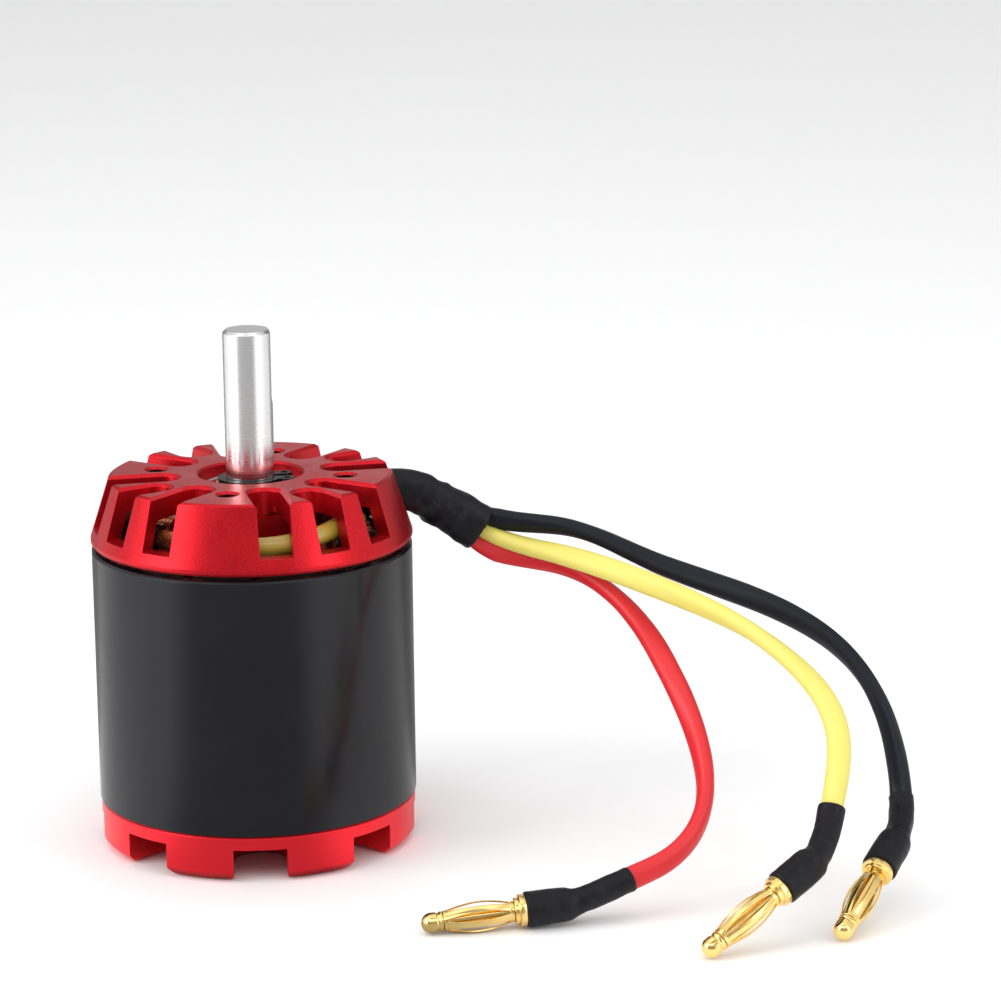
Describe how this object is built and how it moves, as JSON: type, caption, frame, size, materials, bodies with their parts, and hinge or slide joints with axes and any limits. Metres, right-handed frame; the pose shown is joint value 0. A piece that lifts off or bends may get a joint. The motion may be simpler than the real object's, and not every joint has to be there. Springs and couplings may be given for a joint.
{
  "type": "brushless outrunner motor",
  "caption": "Brushless outrunner motor with a slotted red mount, black rotating can, plain output shaft with a flat, and phase leads ending in bullet plugs.",
  "frame": {"origin": "centre of the mounting face, on the shaft axis", "axes": "+Z along the output shaft, away from the motor; +X through one of the four mounting holes"},
  "size_m": [0.1372, 0.0772, 0.0863],
  "materials": {
    "red_anodised": "satin, bead blasted and anodised",
    "black_can": "satin black, slightly glossy",
    "ground_steel": "ground and polished",
    "bearing_steel": "polished",
    "black_steel": "blackened",
    "shim_brass": "bright",
    "lamination_steel": "oiled laminations",
    "insulator_fibre": "matte",
    "copper_wire": "varnished copper",
    "magnet_nickel": "nickel plated",
    "gold_plate": "polished gold plate",
    "black_heatshrink": "matte, slightly wrinkled",
    "red_insulation": "smooth matte",
    "yellow_insulation": "smooth matte",
    "black_insulation": "smooth satin"
  },
  "bodies": {
    "stator": {"mount_housing": "red_anodised", "bearing_spacer": "bearing_steel", "front_bearing_outer_ring": "bearing_steel", "front_bearing_shields": "bearing_steel", "rear_bearing_outer_ring": "bearing_steel", "rear_bearing_shields": "bearing_steel", "stator_core": "lamination_steel", "front_end_insulator": "insulator_fibre", "rear_end_insulator": "insulator_fibre", "phase_a_winding": "copper_wire", "phase_b_winding": "copper_wire", "phase_c_winding": "copper_wire", "star_bundle": "copper_wire", "lead_boot": "black_heatshrink", "red_lead_wire": "copper_wire", "red_lead_sleeve": "red_insulation", "red_plug_body": "gold_plate", "red_plug_spring": "gold_plate", "red_plug_boot": "black_heatshrink", "yellow_lead_wire": "copper_wire", "yellow_lead_sleeve": "yellow_insulation", "yellow_plug_body": "gold_plate", "yellow_plug_spring": "gold_plate", "yellow_plug_boot": "black_heatshrink", "black_lead_wire": "copper_wire", "black_lead_sleeve": "black_insulation", "black_plug_body": "gold_plate", "black_plug_spring": "gold_plate", "black_plug_boot": "black_heatshrink"},
    "rotor": {"shaft": "ground_steel", "shaft_clip": "black_steel", "front_shim": "shim_brass", "rear_shim": "shim_brass", "rotor_can": "black_can", "magnets": "magnet_nickel", "rear_bell": "red_anodised", "set_screws": "black_steel", "front_bearing_inner_ring": "bearing_steel", "rear_bearing_inner_ring": "bearing_steel"},
    "front_ball_set": {"front_bearing_balls": "bearing_steel", "front_bearing_cage": "bearing_steel"},
    "rear_ball_set": {"rear_bearing_balls": "bearing_steel", "rear_bearing_cage": "bearing_steel"}
  },
  "joints": [
    {"name": "rotor_spin", "type": "hinge", "parent": "stator", "child": "rotor", "pos_m": [0, 0, 0], "axis": [0, 0, 1], "continuous": true},
    {"name": "front_cage_spin", "type": "hinge", "parent": "stator", "child": "front_ball_set", "pos_m": [0, 0, -0.005], "axis": [0, 0, 1], "continuous": true},
    {"name": "rear_cage_spin", "type": "hinge", "parent": "stator", "child": "rear_ball_set", "pos_m": [0, 0, -0.0498], "axis": [0, 0, 1], "continuous": true}
  ],
  "couplings": [
    {"joint": "front_cage_spin", "follows": "rotor_spin", "ratio": 0.38241},
    {"joint": "rear_cage_spin", "follows": "rotor_spin", "ratio": 0.38241}
  ]
}
